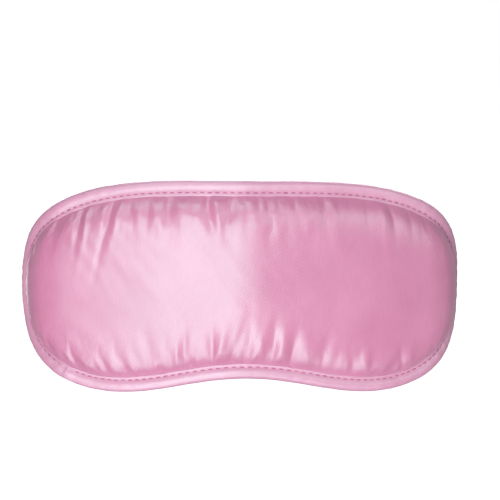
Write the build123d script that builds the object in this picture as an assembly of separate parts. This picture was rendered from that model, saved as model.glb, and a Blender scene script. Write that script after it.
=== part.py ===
"""Padded sleep eye mask with a bound edge and an adjustable elastic head strap.

Millimetres. The wearer's face is towards +Y, the front of the mask looks along -Y and +Z is up.
The origin is on the lining, at mid-height in the plane of symmetry, where it meets the bridge of the nose.

The mask is a flat pattern bent round a plan curve. A place on it has three numbers:
    u  the distance along the plan curve from the middle, positive to +X,
    z  the height,
    n  the distance from the mid-surface, positive to the front.
"""

from build123d import *
import math
import os

# --- plan curve of the mid-surface: three tangent arcs each side, as (radius, turn in degrees) ---
RIDGE = (80.0, 5.0)  # over the bridge of the nose
CHEEK = (295.0, 13.7)  # in front of each eye
CURL = (28.0, 60.0)  # round each temple
ARCS = (RIDGE, CHEEK, CURL)
HALF_LENGTH = sum(radius * math.radians(turn) for radius, turn in ARCS)
END_HEADING = sum(turn for radius, turn in ARCS)

# --- outline of the flat pattern ---
TOP_HEIGHT = 47.5  # above the origin, in the middle
LOBE_HEIGHT = 50.9  # below the origin, before the cut-out and the ends take from it
NOTCH_DEPTH = 13.6  # nose cut-out in the lower edge
NOTCH_WIDTH = 49.6
END_POWER = 3.6  # how square the ends are, along the pattern
SIDE_POWER = 1.85  # and across it

# --- layers, from the mid-surface outwards ---
SATIN = 0.35
BLACKOUT = 0.4
LAYER_GAP = 0.1
EDGE_HALF = 0.8  # half the stack where the binding presses it flat
FRONT_PUFF = 7.6
BACK_PUFF = 3.2
PUFF_START = 9.0  # from the outer edge to where the padding starts to rise
PUFF_SPREAD = 9.0  # how far in it takes to rise
PUFF_POWER = 1.3

# --- binding tape round the edge, and its stitching ---
TAPE = 0.6
TAPE_DEPTH = 6.8
TAPE_GAP = 0.2
TAPE_FACE = EDGE_HALF + TAPE_GAP + TAPE
BODY_INSET = TAPE + 0.2
SEAM_DEPTH = 5.2  # from the outer edge to the stitch line
STITCH_PITCH = 3.2
STITCH_LENGTH = 2.3
THREAD = 0.3
THREAD_GAP = 0.18
TACK_GAP = 0.12  # over a curved strap

# --- elastic strap ---
STRAP = 1.0
STRAP_WIDTH = 20.0
STRAP_LAP = 7.6  # sewn over the back of the binding at each end
TEMPLE_RADIUS = 50.0
RUN_HEADING = 107.0  # of the straight runs beside the head
BACK_RADIUS = 78.0  # round the back of the head, to the strap's mid-plane
PLY_GAP = 0.1  # between two plies that are sewn together
TAIL = 9.0  # the length sewn down at each loop
BEND = 6.0  # radius of the S-bend that brings two plies together
SPAN_GAP = 0.02  # between the spans of the long strap

# --- ring and slider on the strap; angles are from the middle of the back, positive to +X ---
SNUG = 0.05  # between a bar and the strap that wraps it
SLIDE_GAP = 0.3  # between the slider and the ply that it slides on
SIDE_GAP = 0.6  # between a strap's edge and the hardware beside it
RING_ANGLE = -40.0
RING_WIRE = 2.2
RING_SPAN = 10.0  # between the centres of its two bars
RING_CORNER = 1.5
SLIDER_ANGLE = 25.0
SLIDER_SPAN = 15.0  # between the centres of its outer bars
SLIDER_BAR = 3.0  # each bar's width
SLIDER_PLATE = 1.6  # and its thickness
SLIDER_RAIL = 2.4
SLIDER_ROUND = 0.75

# --- how finely the layers are drawn ---
STATIONS = 37
FLAT_RIM = 7.2  # each section's flat part, in from its ends
DOME_STEPS = (0.0, 0.35, 0.65, 0.87, 1.0)
TAPE_STATIONS = 180


# ------------------------------------------------------------------ the bent pattern


def along(u):
    """Place and heading, in degrees from +X, of the mid-surface's plan curve at u."""
    side, left = (1 if u >= 0 else -1), abs(u)
    x, y, heading = 0.0, -(EDGE_HALF + BACK_PUFF), 0.0
    for index, (radius, turn) in enumerate(ARCS):
        last = index == len(ARCS) - 1
        angle = math.degrees(left / radius)
        angle = angle if last else min(angle, turn)
        a, b = math.radians(heading), math.radians(heading + angle)
        x += radius * (math.sin(b) - math.sin(a))
        y += radius * (math.cos(a) - math.cos(b))
        heading += angle
        left -= radius * math.radians(angle)
        if left <= 1e-9:
            break
    return side * x, y, side * heading


def bent(u, z, n):
    """The point (u, z, n) of the pattern, bent round the plan curve."""
    x, y, heading = along(u)
    a = math.radians(heading)
    return Vector(x + n * math.sin(a), y - n * math.cos(a), z)


def rim(u, inset=0.0):
    """Lowest and highest z of the pattern at u, with the whole outline moved in by inset."""
    share = abs(u) / (HALF_LENGTH - inset)
    end = max(0.0, 1.0 - share**END_POWER) ** (1.0 / SIDE_POWER)
    notch = NOTCH_DEPTH * math.exp(-((u / NOTCH_WIDTH) ** 2))
    return notch - (LOBE_HEIGHT - inset) * end, (TOP_HEIGHT - inset) * end


def outline(count):
    """Points (u, z) of the closed outer edge, evenly spaced, clockwise from the middle of the top."""
    fine = 720
    half = []
    for k in range(fine + 1):
        t = math.pi * k / fine
        u = HALF_LENGTH * math.sin(t) ** 0.6
        low, high = rim(u)
        half.append((u, high if t <= math.pi / 2 else low))
    loop = half + [(-u, z) for u, z in reversed(half[1:-1])]
    loop.append(loop[0])
    lengths = [0.0]
    for a, b in zip(loop, loop[1:]):
        lengths.append(lengths[-1] + math.dist(a, b))
    points, k = [], 0
    for i in range(count):
        want = lengths[-1] * i / count
        while lengths[k + 1] < want:
            k += 1
        share = (want - lengths[k]) / (lengths[k + 1] - lengths[k])
        points.append(tuple(p + share * (q - p) for p, q in zip(loop[k], loop[k + 1])))
    return points


EDGE = outline(360)
EDGE_LENGTH = sum(math.dist(a, b) for a, b in zip(EDGE, EDGE[1:] + EDGE[:1]))


def rise(u, z):
    """Share of the full puff at a place of the pattern, from 0 beside the binding to 1 far from it."""
    inside = min(math.dist((u, z), point) for point in EDGE) - PUFF_START
    return 1.0 - math.exp(-((max(0.0, inside) / PUFF_SPREAD) ** PUFF_POWER))


def station(u, offset, puff):
    """Points up the pattern at u, at n = offset plus the puff's rise."""
    low, high = rim(u, BODY_INSET)
    middle, half = (low + high) / 2, (high - low) / 2
    domed = half - min(FLAT_RIM, half / 2)
    upper = [domed * step for step in DOME_STEPS] + [half]
    heights = [middle + z for z in [-z for z in reversed(upper[1:])] + upper]
    return [bent(u, z, offset + puff * rise(u, z)) for z in heights]


def surface(offset, puff):
    """A grid of points over the whole pattern, in rows from its left end to its right."""
    turns = [math.pi * (k / (STATIONS - 1) - 0.5) for k in range(STATIONS)]
    return [station((HALF_LENGTH - BODY_INSET) * 0.995 * math.sin(turn), offset, puff) for turn in turns]


def facets(first, second):
    """Triangles that join two rows of points."""
    faces = []
    for a, b, c, d in zip(first, first[1:], second[1:], second):
        faces.append(Face(Wire.make_polygon([a, b, c])))
        faces.append(Face(Wire.make_polygon([a, c, d])))
    return faces


def border(grid):
    """The points round a grid, ending where they start."""
    right = [row[-1] for row in grid[1:-1]]
    left = [row[0] for row in grid[1:-1]]
    return grid[0] + right + grid[-1][::-1] + left[::-1] + grid[0][:1]


def layer(front, back):
    """One layer of the mask: a faceted solid between two surfaces, each given as (offset, puff)."""
    outer, inner = surface(*front), surface(*back)
    faces = facets(border(outer), border(inner))
    for grid in (outer, inner):
        for first, second in zip(grid, grid[1:]):
            faces += facets(first, second)
    return Solid(Shell(faces))


def pad_layers():
    """The five layers, front to back."""
    skin = EDGE_HALF - SATIN
    core = BLACKOUT / 2
    return {
        "front_panel": layer((EDGE_HALF, FRONT_PUFF), (skin, FRONT_PUFF)),
        "front_wadding": layer((skin - LAYER_GAP, FRONT_PUFF), (core + LAYER_GAP, 0.0)),
        "blackout_layer": layer((core, 0.0), (-core, 0.0)),
        "back_wadding": layer((-core - LAYER_GAP, 0.0), (-skin + LAYER_GAP, -BACK_PUFF)),
        "lining": layer((-skin, -BACK_PUFF), (-EDGE_HALF, -BACK_PUFF)),
    }


# ------------------------------------------------------------------ binding and stitches


def inward(index, points):
    """The direction into the pattern, square to the outline at one of its points."""
    before, after = points[index - 1], points[(index + 1) % len(points)]
    du, dz = after[0] - before[0], after[1] - before[1]
    size = math.hypot(du, dz)
    return dz / size, -du / size


def edge_place(points, index, depth, n):
    """The point at a depth in from the outline and a distance n from the mid-surface."""
    u, z = points[index]
    du, dz = inward(index, points)
    return bent(u + depth * du, z + depth * dz, n)


def tape_section(points, index):
    """The corners of the tape's folded U section at one point of the outline."""
    slot = TAPE_FACE - TAPE
    front = [(TAPE_DEPTH, TAPE_FACE), (1.3, TAPE_FACE), (0.35, 0.95), (0.0, 0.0)]
    back = [(depth, -n) for depth, n in front[-2::-1]]
    inside = [(TAPE_DEPTH, -slot), (TAPE, -slot), (TAPE, slot), (TAPE_DEPTH, slot)]
    corners = front + back + inside
    return [edge_place(points, index, depth, n) for depth, n in corners + corners[:1]]


def edge_binding():
    """The tape folded over the edge all round."""
    points = outline(TAPE_STATIONS)
    sections = [tape_section(points, index) for index in range(TAPE_STATIONS)]
    faces = []
    for first, second in zip(sections, sections[1:] + sections[:1]):
        faces += facets(first, second)
    return Solid(Shell(faces))


def stitch(place, direction, normal, length=STITCH_LENGTH):
    """One stitch lying on a surface, with its middle at place."""
    frame = Plane(origin=place, x_dir=direction, z_dir=normal)
    return frame * Box(length, THREAD, THREAD, align=(Align.CENTER, Align.CENTER, Align.MIN))


def under_strap(u, z):
    """Whether a place near the outline is under one of the sewn-on strap ends."""
    return abs(z) < STRAP_WIDTH / 2 + 1.5 and abs(u) > HALF_LENGTH / 2


def binding_stitches(side):
    """The seam's stitches on the front (side 1) or the back (side -1) of the binding."""
    count = round(EDGE_LENGTH / STITCH_PITCH)
    points = outline(count)
    stitches = []
    for k in range(count):
        if side < 0 and under_strap(*points[k]):
            continue
        place = edge_place(points, k, SEAM_DEPTH, side * (TAPE_FACE + THREAD_GAP))
        ahead = edge_place(points, (k + 1) % count, SEAM_DEPTH, side * (TAPE_FACE + THREAD_GAP))
        behind = edge_place(points, k - 1, SEAM_DEPTH, side * (TAPE_FACE + THREAD_GAP))
        outer = edge_place(points, k, SEAM_DEPTH, side * (TAPE_FACE + 1.0))
        stitches.append(stitch(place, ahead - behind, outer - place))
    return stitches


# ------------------------------------------------------------------ strap


def ribbon(start, heading, moves):
    """A band of strap on edge, even about z = 0, along moves from its mid-plane's start and heading.

    A move is ("line", length) or ("arc", radius, turn), with the turn in degrees, positive to the left.
    """
    left, right = [], []
    x, y = start
    for kind, size, *turns in moves:
        a = math.radians(heading)
        across = Vector(-math.sin(a), math.cos(a)) * (STRAP / 2)
        here = Vector(x, y)
        if kind == "line":
            ahead = here + Vector(math.cos(a), math.sin(a)) * size
            left.append(Line(here + across, ahead + across))
            right.append(Line(here - across, ahead - across))
        else:
            turn = turns[0]
            hand = math.copysign(1, turn)
            centre = here + across * (hand * size / (STRAP / 2))
            left.append(CenterArc(centre, size - hand * STRAP / 2, heading - hand * 90, turn))
            right.append(CenterArc(centre, size + hand * STRAP / 2, heading - hand * 90, turn))
            heading += turn
            b = math.radians(heading)
            ahead = centre + Vector(math.sin(b), -math.cos(b)) * (hand * size)
        x, y = ahead.X, ahead.Y
    ends = [Line(left[0] @ 0, right[0] @ 0), Line(left[-1] @ 1, right[-1] @ 1)]
    face = Face(Wire([edge for curve in (*left, *right, *ends) for edge in curve.edges()]))
    return Pos(0, 0, -STRAP_WIDTH / 2) * extrude(face, STRAP_WIDTH, dir=(0, 0, 1))


LAP_OFFSET = TAPE_FACE + TAPE_GAP + STRAP / 2
LAP_HEADING = along(HALF_LENGTH - STRAP_LAP)[2]
LAP_START = bent(HALF_LENGTH - STRAP_LAP, 0, -LAP_OFFSET)


def turned(point, heading, radius, turn):
    """Where an arc to the left ends, from a point and heading."""
    a, b = math.radians(heading), math.radians(heading + turn)
    return point + Vector(math.sin(b) - math.sin(a), math.cos(a) - math.cos(b)) * radius


LAP_END = turned(LAP_START, LAP_HEADING, CURL[0] - LAP_OFFSET, END_HEADING - LAP_HEADING)
TEMPLE_END = turned(LAP_END, END_HEADING, TEMPLE_RADIUS, RUN_HEADING - END_HEADING)
RUN_SIN, RUN_COS = math.sin(math.radians(RUN_HEADING)), math.cos(math.radians(RUN_HEADING))
STRAIGHT_RUN = (BACK_RADIUS * RUN_SIN - TEMPLE_END.X) / RUN_COS
CENTRE_Y = TEMPLE_END.Y + STRAIGHT_RUN * RUN_SIN + BACK_RADIUS * RUN_COS
BACK_EDGE = 180 - RUN_HEADING  # the back arc's end, as an angle from the middle of the back

SIDE_MOVES = [
    ("arc", CURL[0] - LAP_OFFSET, END_HEADING - LAP_HEADING),
    ("arc", TEMPLE_RADIUS, RUN_HEADING - END_HEADING),
    ("line", STRAIGHT_RUN),
]

# radii from the back arc's centre to the plies and the bars
RING_BAR_R = BACK_RADIUS - STRAP / 2 - SNUG - RING_WIRE / 2
RING_LEG_R = RING_BAR_R - RING_WIRE / 2 - SNUG - STRAP / 2
SEWN_R = BACK_RADIUS - STRAP - PLY_GAP
RETURN_R = BACK_RADIUS - STRAP - SLIDE_GAP
OUTER_BAR_R = BACK_RADIUS + STRAP / 2 + SLIDE_GAP + SLIDER_PLATE / 2
CENTRE_BAR_R = RETURN_R - STRAP / 2 - SNUG - SLIDER_PLATE / 2
LOOP_LEG_R = CENTRE_BAR_R - SLIDER_PLATE / 2 - SNUG - STRAP / 2
LOOP_TAIL_R = RETURN_R - STRAP - PLY_GAP
RING_HALF = math.degrees(math.asin(RING_SPAN / 2 / RING_BAR_R))


def on_back(angle, radius):
    """The plan point at an angle from the middle of the back, and the heading of the way to +X."""
    a = math.radians(angle)
    return (radius * math.sin(a), CENTRE_Y + radius * math.cos(a)), -angle


def s_bend(near, far):
    """The two turns that take a band from radius near out to radius far, and the angle it covers."""
    first, second, between = near + BEND, far - BEND, 2 * BEND
    covered = math.acos((first**2 + second**2 - between**2) / (2 * first * second))
    opening = math.acos((first**2 + between**2 - second**2) / (2 * first * between))
    covered, opening = math.degrees(covered), math.degrees(opening)
    return opening, opening + covered, covered


def ring_loop(leg_end):
    """The moves round one bar of the ring and out to the radius leg_end, and the angle they cover."""
    out, back, covered = s_bend(RING_LEG_R, leg_end)
    turn_radius = (BACK_RADIUS - RING_LEG_R) / 2
    return [("arc", turn_radius, 180), ("arc", BEND, out), ("arc", BEND, -back)], covered


def short_strap():
    """The strap from the mask's left end to the ring, looped round its bar and sewn to itself."""
    moves, covered = ring_loop(SEWN_R)
    bar = -RING_ANGLE + RING_HALF
    moves = SIDE_MOVES + [("arc", BACK_RADIUS, BACK_EDGE - bar)] + moves
    moves.append(("arc", SEWN_R, -math.degrees(TAIL / SEWN_R)))
    band = ribbon((LAP_START.X, LAP_START.Y), LAP_HEADING, moves)
    return mirror(band, about=Plane.YZ)


RETURN_START = RING_ANGLE + RING_HALF + ring_loop(RETURN_R)[1]
LOOP_OUT, LOOP_BACK, LOOP_COVERED = s_bend(LOOP_LEG_R, LOOP_TAIL_R)
LOOP_TAIL = math.degrees(TAIL / LOOP_TAIL_R)
RETURN_END = SLIDER_ANGLE - LOOP_COVERED - LOOP_TAIL - 1.0


def long_strap():
    """The strap's outer ply from the mask's right end to the ring, and its turn round the ring's bar."""
    moves = SIDE_MOVES + [("arc", BACK_RADIUS, BACK_EDGE - RING_ANGLE - RING_HALF)] + ring_loop(RETURN_R)[0]
    return ribbon((LAP_START.X, LAP_START.Y), LAP_HEADING, moves)


def strap_return():
    """The long strap's inner ply, from the ring back towards the slider."""
    gap = math.degrees(SPAN_GAP / RETURN_R)
    start, heading = on_back(RETURN_START + gap, RETURN_R)
    return ribbon(start, heading, [("arc", RETURN_R, -(RETURN_END - RETURN_START - 2 * gap))])


def strap_end_loop():
    """The long strap's end, looped round the slider's centre bar and sewn to itself."""
    start, heading = on_back(RETURN_END, RETURN_R)
    flat = (SLIDER_BAR - SLIDER_PLATE) / 2
    moves = [
        ("arc", RETURN_R, RETURN_END - SLIDER_ANGLE),
        ("line", flat),
        ("arc", (RETURN_R - LOOP_LEG_R) / 2, -180),
        ("line", flat),
        ("arc", BEND, -LOOP_OUT),
        ("arc", BEND, LOOP_BACK),
        ("arc", LOOP_TAIL_R, LOOP_TAIL),
    ]
    return ribbon(start, heading, moves)


# ------------------------------------------------------------------ ring, slider and strap stitching


def back_plane(angle, radius):
    """The plane square to the back arc's radius: x along the strap to +X, y up, z towards the head."""
    origin = on_back(angle, radius)[0]
    a = math.radians(angle)
    return Plane(origin=origin, x_dir=(math.cos(a), -math.sin(a), 0), z_dir=(-math.sin(a), -math.cos(a), 0))


def strap_ring():
    """The rectangular ring of round wire."""
    plane = back_plane(RING_ANGLE, RING_BAR_R * math.cos(math.radians(RING_HALF)))
    height = STRAP_WIDTH + 2 * SIDE_GAP + RING_WIRE
    path = (plane * RectangleRounded(RING_SPAN, height, RING_CORNER)).wire()
    section = Plane(origin=path @ 0, z_dir=path % 0) * Circle(RING_WIRE / 2)
    return sweep(section, path=path)


def slider_bar(angle, radius):
    """One of the slider's bars, across the strap."""
    length = STRAP_WIDTH + 2 * (SIDE_GAP + SLIDER_RAIL)
    (x, y), heading = on_back(angle, radius)
    section = RectangleRounded(SLIDER_BAR, SLIDER_PLATE, SLIDER_ROUND)
    return Pos(x, y, -length / 2) * Rot(0, 0, heading) * extrude(section, length)


def slider_rail(side):
    """The wavy rail beside the strap that carries the three bars, above (side 1) or below (side -1)."""
    half = math.degrees((SLIDER_SPAN + SLIDER_BAR) / 2 / BACK_RADIUS)
    reach = math.degrees(SLIDER_SPAN / 2 / BACK_RADIUS)
    count = 12
    outer, inner = [], []
    for k in range(count + 1):
        angle = half * (2 * k / count - 1)
        dip = math.cos(math.pi / 2 * min(1, abs(angle) / reach)) ** 2
        middle = OUTER_BAR_R - (OUTER_BAR_R - CENTRE_BAR_R) * dip
        outer.append(on_back(SLIDER_ANGLE + angle, middle + SLIDER_PLATE / 2)[0])
        inner.append(on_back(SLIDER_ANGLE + angle, middle - SLIDER_PLATE / 2)[0])
    curves = [Spline(outer), Line(outer[-1], inner[-1]), Spline(inner[::-1]), Line(inner[0], outer[0])]
    face = Face(Wire([edge for curve in curves for edge in curve.edges()]))
    start = STRAP_WIDTH / 2 + SIDE_GAP
    return extrude(Pos(0, 0, side * start) * face, SLIDER_RAIL, dir=(0, 0, side))


def strap_slider():
    """The slider: two outer bars outside the strap, a centre bar inside it, and a rail at each edge."""
    reach = math.degrees(SLIDER_SPAN / 2 / BACK_RADIUS)
    body = slider_bar(SLIDER_ANGLE, CENTRE_BAR_R)
    for angle in (-reach, reach):
        body += slider_bar(SLIDER_ANGLE + angle, OUTER_BAR_R)
    for side in (1, -1):
        body += slider_rail(side)
    return body


def tack(plane):
    """Two rows of stitches across a strap, on its inner face."""
    rows, count = (-1.6, 1.6), 6
    stitches = []
    for x in rows:
        for k in range(count):
            y = STITCH_PITCH * (k - (count - 1) / 2)
            stitches.append(plane * Pos(x, y, TACK_GAP) * stitch((0, 0, 0), (0, 1, 0), (0, 0, 1)))
    return stitches


def anchor_tack(side):
    """The stitching that holds a strap to the mask's end, at the right (side 1) or the left (side -1)."""
    u = HALF_LENGTH - SEAM_DEPTH + 1.6
    depth = LAP_OFFSET + STRAP / 2
    a = math.radians(along(u)[2])
    across, inwards = Vector(math.cos(a), math.sin(a)), Vector(-math.sin(a), math.cos(a))
    stitches = tack(Plane(origin=bent(u, 0, -depth), x_dir=across, z_dir=inwards))
    return stitches if side == 1 else [mirror(one, about=Plane.YZ) for one in stitches]


def loop_tack(angle, radius):
    """The stitching through a loop's sewn tail, with its middle at an angle on the back arc."""
    return tack(back_plane(angle, radius - STRAP / 2))


RING_TAIL_ANGLE = RING_ANGLE - RING_HALF - ring_loop(SEWN_R)[1] - math.degrees(TAIL / 2 / SEWN_R)
SLIDER_TAIL_ANGLE = SLIDER_ANGLE - LOOP_COVERED - LOOP_TAIL / 2

pieces = pad_layers()
pieces["edge_binding"] = edge_binding()
pieces["front_seam_thread"] = binding_stitches(1)
pieces["back_seam_thread"] = binding_stitches(-1)
pieces["short_strap"] = short_strap()
pieces["long_strap"] = long_strap()
pieces["strap_return"] = strap_return()
pieces["strap_end_loop"] = strap_end_loop()
pieces["strap_ring"] = strap_ring()
pieces["strap_slider"] = strap_slider()
pieces["left_anchor_stitching"] = anchor_tack(-1)
pieces["right_anchor_stitching"] = anchor_tack(1)
pieces["ring_loop_stitching"] = loop_tack(RING_TAIL_ANGLE, SEWN_R)
pieces["slider_loop_stitching"] = loop_tack(SLIDER_TAIL_ANGLE, LOOP_TAIL_R)

os.makedirs("parts", exist_ok=True)
for name, solids in pieces.items():
    shape = Compound(solids) if isinstance(solids, list) else solids
    export_step(shape, f"parts/{name}.step")

print(f"flat pattern: half length {HALF_LENGTH:.2f}, edge {EDGE_LENGTH:.1f}")
print(f"strap: straight run {STRAIGHT_RUN:.2f}, back arc centre y {CENTRE_Y:.3f}")
print(f"return ply from {RETURN_START:.2f} to {RETURN_END:.2f} degrees")
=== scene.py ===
import bpy
import math
import numpy as np
from mathutils import Matrix, Vector
from mathutils.kdtree import KDTree


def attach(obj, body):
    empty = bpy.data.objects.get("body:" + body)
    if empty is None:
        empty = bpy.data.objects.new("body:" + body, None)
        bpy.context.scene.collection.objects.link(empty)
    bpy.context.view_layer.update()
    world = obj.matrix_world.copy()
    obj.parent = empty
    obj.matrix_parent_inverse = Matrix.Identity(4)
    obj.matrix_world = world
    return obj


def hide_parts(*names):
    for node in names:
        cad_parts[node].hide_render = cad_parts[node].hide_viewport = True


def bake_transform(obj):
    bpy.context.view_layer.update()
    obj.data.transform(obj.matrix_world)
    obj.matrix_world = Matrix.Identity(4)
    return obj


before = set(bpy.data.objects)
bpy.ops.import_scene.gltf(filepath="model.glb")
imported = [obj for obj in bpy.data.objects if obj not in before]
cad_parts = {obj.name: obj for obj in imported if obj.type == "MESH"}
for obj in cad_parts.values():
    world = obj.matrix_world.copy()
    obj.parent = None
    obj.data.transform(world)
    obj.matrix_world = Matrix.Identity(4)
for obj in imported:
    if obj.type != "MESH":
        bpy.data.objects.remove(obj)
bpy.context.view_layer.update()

# The pattern of the mask is flat, in millimetres: u runs along it, z up it, and n is the distance from
# its mid-surface, positive to the front. These are the CAD model's own values.
MM = 0.001
ARCS = ((80.0, 5.0), (295.0, 13.7), (28.0, 60.0))
HALF_LENGTH = sum(radius * math.radians(turn) for radius, turn in ARCS)
END_HEADING = sum(turn for radius, turn in ARCS)
MID_DEPTH = 4.0
TOP_HEIGHT, LOBE_HEIGHT = 47.5, 50.9
NOTCH_DEPTH, NOTCH_WIDTH = 13.6, 49.6
END_POWER, SIDE_POWER = 3.6, 1.85
SEAM_DEPTH = 5.2
STITCH_PITCH = 3.2


# ---------------------------------------------------------------- the bent pattern


def bend(points):
    """Pattern points (u, z, n) in millimetres as places in metres, bent round the plan curve."""
    u, z, n = np.asarray(points, float).reshape(-1, 3).T
    left, x, y, heading = np.abs(u), np.zeros_like(u), np.full_like(u, -MID_DEPTH), np.zeros_like(u)
    for index, (radius, turn) in enumerate(ARCS):
        angle = left / radius
        if index < len(ARCS) - 1:
            angle = np.minimum(angle, math.radians(turn))
        x += radius * (np.sin(heading + angle) - np.sin(heading))
        y += radius * (np.cos(heading) - np.cos(heading + angle))
        heading += angle
        left = left - radius * angle
    side = np.where(u < 0, -1.0, 1.0)
    places = np.column_stack([side * (x + n * np.sin(heading)), y - n * np.cos(heading), z])
    return places * MM


def rim(u, inset=0.0):
    """Lowest and highest z of the pattern at u, with the whole outline moved in by inset."""
    share = np.abs(u) / (HALF_LENGTH - inset)
    end = np.maximum(0.0, 1.0 - share**END_POWER) ** (1.0 / SIDE_POWER)
    notch = NOTCH_DEPTH * np.exp(-((u / NOTCH_WIDTH) ** 2))
    return notch - (LOBE_HEIGHT - inset) * end, (TOP_HEIGHT - inset) * end


def outline(count):
    """Points (u, z) of the outer edge, evenly spaced, clockwise from the middle of the top."""
    t = np.linspace(0, math.pi, 3001)
    u = HALF_LENGTH * np.sin(t) ** 0.6
    low, high = rim(u)
    half = np.column_stack([u, np.where(t <= math.pi / 2, high, low)])
    loop = np.vstack([half, half[-2:0:-1] * [-1, 1], half[:1]])
    length = np.concatenate([[0], np.cumsum(np.linalg.norm(np.diff(loop, axis=0), axis=1))])
    want = length[-1] * np.arange(count) / count
    return np.column_stack([np.interp(want, length, loop[:, 0]), np.interp(want, length, loop[:, 1])])


def outline_length():
    """The length of the outer edge, all the way round."""
    loop = outline(4000)
    return float(np.linalg.norm(np.roll(loop, -1, 0) - loop, axis=1).sum())


EDGE_LENGTH = outline_length()


def edge_depth(points):
    """Distance from the outer edge of pattern points (u, z)."""
    edge = outline(3000)
    tree = KDTree(len(edge))
    for index, (u, z) in enumerate(edge):
        tree.insert((u, z, 0), index)
    tree.balance()
    return np.array([tree.find((u, z, 0))[2] for u, z in points])


def edge_frames(count):
    """Evenly spaced points of the outline with the direction into the pattern at each."""
    points = outline(count)
    along = np.roll(points, -1, 0) - np.roll(points, 1, 0)
    along /= np.linalg.norm(along, axis=1, keepdims=True)
    return points, np.column_stack([along[:, 1], -along[:, 0]])


def ripple(s, seed, waves):
    """A smooth random curve round the edge, from s in 0..1, as whole numbers of waves; about 0, size 1."""
    rng = np.random.default_rng(seed)
    total = np.zeros_like(s)
    for count in waves:
        total += np.sin(2 * math.pi * (count * s + rng.random())) * rng.uniform(0.5, 1.0)
    return total / len(waves)


# ---------------------------------------------------------------- meshes


def new_object(name, points, faces):
    """A smooth-shaded object of the given points, in metres, and faces."""
    mesh = bpy.data.meshes.new(name)
    mesh.from_pydata(np.asarray(points).tolist(), [], [list(map(int, face)) for face in faces])
    mesh.validate()
    obj = bpy.data.objects.new(name, mesh)
    bpy.context.scene.collection.objects.link(obj)
    mesh.polygons.foreach_set("use_smooth", [True] * len(mesh.polygons))
    return obj


def grid_faces(rows, columns, ring_rows=False, ring_columns=False, flip=False):
    """Quads of a grid of points; a ring joins its last row or column to its first."""
    index = np.arange(rows * columns).reshape(rows, columns)
    if ring_rows:
        index = np.vstack([index, index[:1]])
    if ring_columns:
        index = np.hstack([index, index[:, :1]])
    quads = np.stack([index[:-1, :-1], index[1:, :-1], index[1:, 1:], index[:-1, 1:]], -1).reshape(-1, 4)
    return quads[:, ::-1] if flip else quads


def set_uv(obj, uv):
    """Give each vertex a UV in millimetres of cloth, which the weave follows."""
    layer = obj.data.uv_layers.new(name="cloth")
    loops = np.empty(len(obj.data.loops), int)
    obj.data.loops.foreach_get("vertex_index", loops)
    layer.data.foreach_set("uv", np.asarray(uv, float)[loops].ravel())


# ---------------------------------------------------------------- materials


def node_tools(name):
    """A new material with its shader, a function that adds nodes, and its links."""
    material = bpy.data.materials.new(name)
    material.use_nodes = True
    nodes, links = material.node_tree.nodes, material.node_tree.links
    shader = nodes["Principled BSDF"]

    def add(kind, **inputs):
        node = nodes.new(kind)
        for key, value in inputs.items():
            node.inputs[key.replace("_", " ")].default_value = value
        return node

    return material, shader, add, links


def colour_ramp(add, low, high, start=0.35, stop=0.65):
    """A ramp from one colour to another."""
    ramp = add("ShaderNodeValToRGB")
    first, last = ramp.color_ramp.elements
    first.position, last.position = start, stop
    first.color, last.color = (*low, 1), (*high, 1)
    return ramp


def cloth_uv(add):
    """The UV of the cloth, in millimetres."""
    uv = add("ShaderNodeUVMap")
    uv.uv_map = "cloth"
    return uv


def summed(add, links, first, second):
    """The sum of two values."""
    total = add("ShaderNodeMath")
    total.operation = "ADD"
    links.new(first, total.inputs[0])
    links.new(second, total.inputs[1])
    return total.outputs[0]


def raise_surface(add, links, shader, height, relief):
    """Fine relief of the surface, in millimetres."""
    bump = add("ShaderNodeBump", Strength=1.0, Distance=relief * MM)
    links.new(height, bump.inputs["Height"])
    links.new(bump.outputs[0], shader.inputs["Normal"])


def satin(name, low, high, roughness, pitch=0.95, relief=0.045, sheen=0.25, angle=0.6):
    """Satin: fine slanted floats of thread over a soft blotchy colour, and a glossy, silky surface."""
    material, shader, add, links = node_tools(name)
    uv = cloth_uv(add)
    turn = add("ShaderNodeMapping", Rotation=(0, 0, angle))
    links.new(uv.outputs[0], turn.inputs[0])
    floats = add("ShaderNodeTexWave", Scale=1 / pitch / 3.2, Distortion=1.6, Detail=2.0, Detail_Scale=0.7)
    links.new(turn.outputs[0], floats.inputs["Vector"])
    stretch = add("ShaderNodeMapping", Rotation=(0, 0, angle), Scale=(1.4, 0.16, 1))
    links.new(uv.outputs[0], stretch.inputs[0])
    slub = add("ShaderNodeTexNoise", Scale=1.1, Detail=4.0, Roughness=0.7)
    links.new(stretch.outputs[0], slub.inputs["Vector"])
    blotch = add("ShaderNodeTexNoise", Scale=0.035, Detail=2.0)
    links.new(uv.outputs[0], blotch.inputs["Vector"])
    ramp = colour_ramp(add, low, high, 0.3, 0.7)
    links.new(blotch.outputs[0], ramp.inputs[0])
    mix = add("ShaderNodeMix")
    mix.data_type, mix.blend_type = "RGBA", "OVERLAY"
    mix.inputs["Factor"].default_value = 0.16
    links.new(ramp.outputs[0], mix.inputs["A"])
    links.new(slub.outputs[0], mix.inputs["B"])
    links.new(mix.outputs["Result"], shader.inputs["Base Color"])
    rough = add("ShaderNodeMapRange", To_Min=roughness - 0.05, To_Max=roughness + 0.06)
    links.new(slub.outputs[0], rough.inputs["Value"])
    links.new(rough.outputs[0], shader.inputs["Roughness"])
    height = summed(add, links, floats.outputs["Fac"], slub.outputs[0])
    raise_surface(add, links, shader, height, relief)
    shader.inputs["Sheen Weight"].default_value = sheen
    shader.inputs["Sheen Roughness"].default_value = 0.4
    shader.inputs["Sheen Tint"].default_value = (1.0, 0.86, 0.93, 1)
    shader.inputs["Specular IOR Level"].default_value = 0.9
    shader.inputs["Specular Tint"].default_value = (0.5, 1.0, 0.9, 1)
    shader.inputs["IOR"].default_value = 1.8
    shader.inputs["Anisotropic"].default_value = 0.2
    return material


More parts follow.
